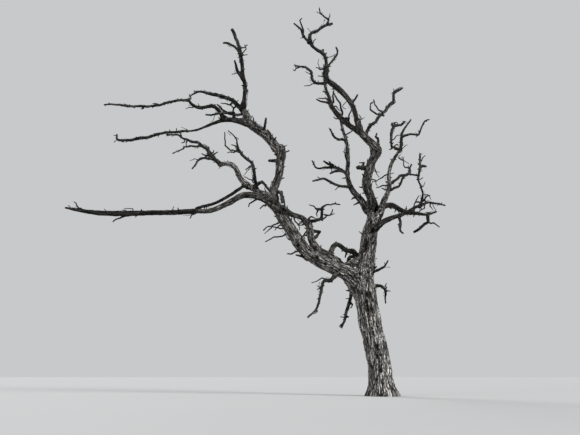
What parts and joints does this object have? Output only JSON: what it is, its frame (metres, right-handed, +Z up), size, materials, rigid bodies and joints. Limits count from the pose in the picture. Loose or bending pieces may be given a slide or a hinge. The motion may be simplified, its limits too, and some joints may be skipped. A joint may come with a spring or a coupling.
{
  "type": "dead tree",
  "caption": "Bare dead pine: leaning trunk with root flare, forked into a long crooked bough and a leader, each with bare broken limbs.",
  "frame": {"origin": "middle of the flat cut at ground level under the trunk", "axes": "+Z up the trunk; +X to the right of the view in which the long bough reaches to the left; +Y away from that view"},
  "size_m": [7.7674, 3.6788, 8.6803],
  "materials": {
    "trunk_bark": "rough fissured bark, weathered grey",
    "bough_bark": "rough bark and bare grained wood, weathered grey",
    "dead_branch": "matt dark grey dead wood"
  },
  "bodies": {
    "root": {"back_arm": "dead_branch", "crest_arm": "dead_branch", "crest_arm_end": "dead_branch", "curly_limb": "dead_branch", "drop_inner": "dead_branch", "drop_outer": "dead_branch", "hanging_far": "dead_branch", "hanging_near": "dead_branch", "high_arm": "bough_bark", "high_arm_end": "dead_branch", "inner_arm_high": "dead_branch", "inner_arm_low": "dead_branch", "inner_arm_mid": "dead_branch", "inner_limb": "bough_bark", "inner_stem": "bough_bark", "ladder_limb": "dead_branch", "ladder_top": "dead_branch", "leader_lower": "bough_bark", "leader_stub": "dead_branch", "leader_upper": "bough_bark", "left_bough": "bough_bark", "left_fork": "dead_branch", "left_riser": "bough_bark", "left_riser_upper": "bough_bark", "long_arm": "bough_bark", "long_arm_end": "dead_branch", "long_arm_upper": "dead_branch", "loop_fall": "dead_branch", "loop_rise": "dead_branch", "low_right": "dead_branch", "mid_right": "dead_branch", "neck": "bough_bark", "outer_right": "dead_branch", "right_arm_high": "dead_branch", "right_lower": "bough_bark", "right_reach": "dead_branch", "right_riser": "bough_bark", "right_stem": "bough_bark", "right_upper": "dead_branch", "riser_arch": "dead_branch", "riser_side": "dead_branch", "riser_top": "dead_branch", "riser_whip": "dead_branch", "spire_left": "dead_branch", "spire_right": "dead_branch", "spire_top": "dead_branch", "spire_twig": "dead_branch", "steep_arm": "bough_bark", "steep_arm_end": "dead_branch", "steep_arm_side": "dead_branch", "top_limb": "bough_bark", "top_spire": "dead_branch", "trunk": "trunk_bark", "trunk_twig_high": "dead_branch", "trunk_twig_low": "dead_branch", "twig_stand": "dead_branch", "upright": "dead_branch", "upright_left": "dead_branch", "upright_stub": "dead_branch", "upright_top": "dead_branch"}
  },
  "joints": []
}
